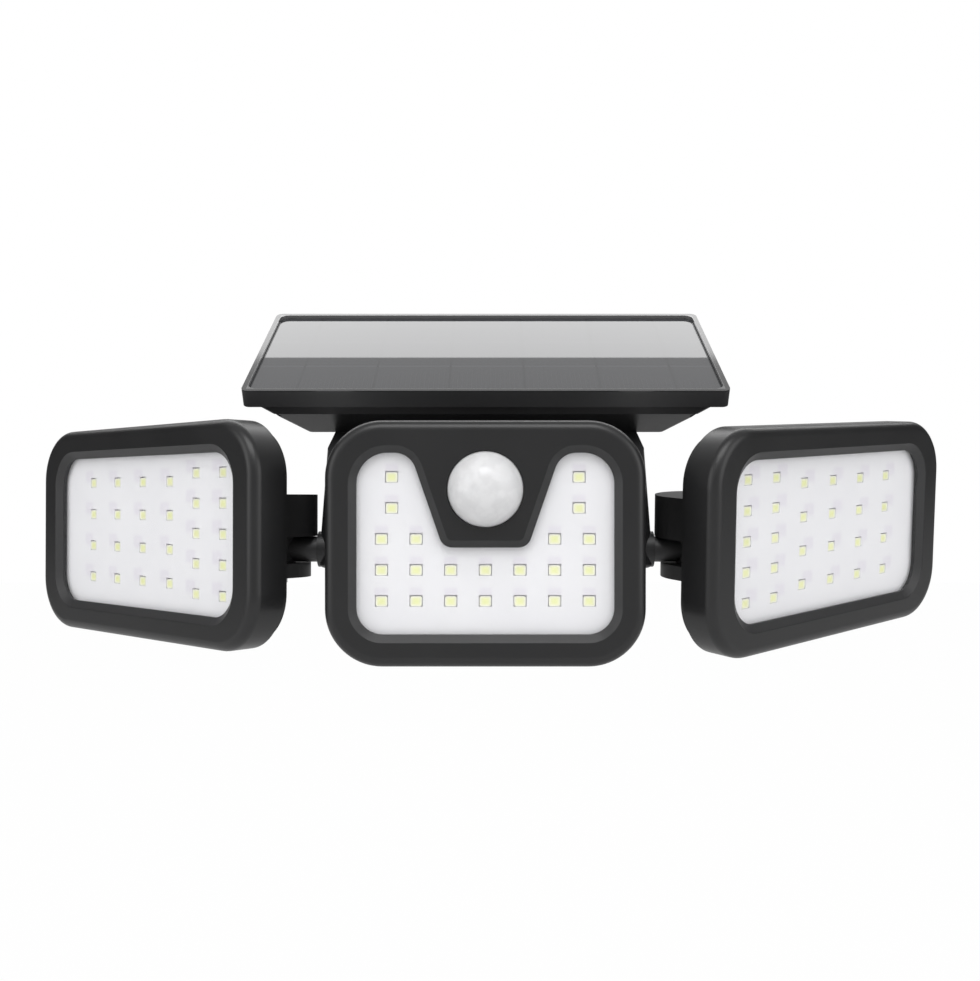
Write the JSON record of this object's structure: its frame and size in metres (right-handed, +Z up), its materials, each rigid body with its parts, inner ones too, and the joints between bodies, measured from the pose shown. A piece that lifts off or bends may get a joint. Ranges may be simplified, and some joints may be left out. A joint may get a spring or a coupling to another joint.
{
  "type": "motion sensor security light",
  "caption": "Solar wall light with adjustable lamp heads beside and below a tilted solar panel, a motion sensor dome on the centre head and a slim wall mount.",
  "frame": {"origin": "middle of the wall plate's back face, midway between its two screw holes", "axes": "+X to the right seen from the front, +Y into the wall, +Z up; the front faces -Y"},
  "size_m": [0.3386, 0.1186, 0.1217],
  "materials": {
    "black_plastic": "satin moulded, fine grain",
    "clear_plastic": "clear, polished",
    "white_plastic": "smooth white",
    "led_phosphor": "yellow phosphor under clear resin, unlit",
    "white_board": "white solder mask",
    "green_board": "green solder mask",
    "seal_rubber": "soft, matt",
    "frosted_plastic": "frosted translucent, faint facets",
    "can_metal": "drawn can",
    "screw_steel": "plated",
    "battery_wrap": "heat-shrunk sleeve",
    "panel_glass": "glossy",
    "panel_cells": "dark cells under resin",
    "button_rubber": "soft touch"
  },
  "bodies": {
    "base": {"base_housing": "black_plastic", "battery_cell": "battery_wrap", "battery_cradle": "black_plastic", "control_board": "green_board", "housing_screws": "screw_steel", "panel_tray": "black_plastic", "solar_cells": "panel_cells", "solar_glass": "panel_glass", "tilt_pin": "screw_steel", "tray_screws": "screw_steel", "wall_plate": "black_plastic", "wall_seal": "seal_rubber"},
    "centre_head": {"centre_bezel": "black_plastic", "centre_board": "white_board", "centre_case_screws": "screw_steel", "centre_chips": "led_phosphor", "centre_lens": "clear_plastic", "centre_rear_shell": "black_plastic", "centre_reflector": "white_plastic", "centre_seal": "seal_rubber", "sensor_board": "green_board", "sensor_can": "can_metal", "sensor_dome": "frosted_plastic", "sensor_holder": "white_plastic"},
    "left_arm": {"left_arm": "black_plastic", "left_arm_nut": "screw_steel", "left_arm_washer": "screw_steel"},
    "left_head": {"left_bezel": "black_plastic", "left_board": "white_board", "left_case_screws": "screw_steel", "left_chips": "led_phosphor", "left_knuckle_nut": "screw_steel", "left_knuckle_screw": "screw_steel", "left_lens": "clear_plastic", "left_rear_shell": "black_plastic", "left_reflector": "white_plastic", "left_seal": "seal_rubber"},
    "right_arm": {"right_arm": "black_plastic", "right_arm_nut": "screw_steel", "right_arm_washer": "screw_steel"},
    "right_head": {"right_bezel": "black_plastic", "right_board": "white_board", "right_case_screws": "screw_steel", "right_chips": "led_phosphor", "right_knuckle_nut": "screw_steel", "right_knuckle_screw": "screw_steel", "right_lens": "clear_plastic", "right_rear_shell": "black_plastic", "right_reflector": "white_plastic", "right_seal": "seal_rubber"},
    "mode_button": {"mode_button": "button_rubber"}
  },
  "joints": [
    {"name": "centre_tilt", "type": "hinge", "parent": "base", "child": "centre_head", "pos_m": [0, -0.082, -0.014], "axis": [1, 0, 0], "range_deg": [-20, 30]},
    {"name": "left_arm_turn", "type": "hinge", "parent": "base", "child": "left_arm", "pos_m": [-0.0707, -0.069, -0.0198], "axis": [1, 0, 0], "range_deg": [-15, 40]},
    {"name": "left_head_swing", "type": "hinge", "parent": "left_arm", "child": "left_head", "pos_m": [-0.0707, -0.069, -0.0198], "axis": [0, 0.0087, 1], "range_deg": [-40, 20]},
    {"name": "right_arm_turn", "type": "hinge", "parent": "base", "child": "right_arm", "pos_m": [0.0707, -0.069, -0.0198], "axis": [1, 0, 0], "range_deg": [-15, 40]},
    {"name": "right_head_swing", "type": "hinge", "parent": "right_arm", "child": "right_head", "pos_m": [0.0707, -0.069, -0.0198], "axis": [0, -0.0941, 0.9956], "range_deg": [-20, 40]},
    {"name": "mode_press", "type": "slide", "parent": "base", "child": "mode_button", "axis": [0, 0, 1], "range_m": [0, 0.0015], "stiffness_N_per_m": 700}
  ]
}
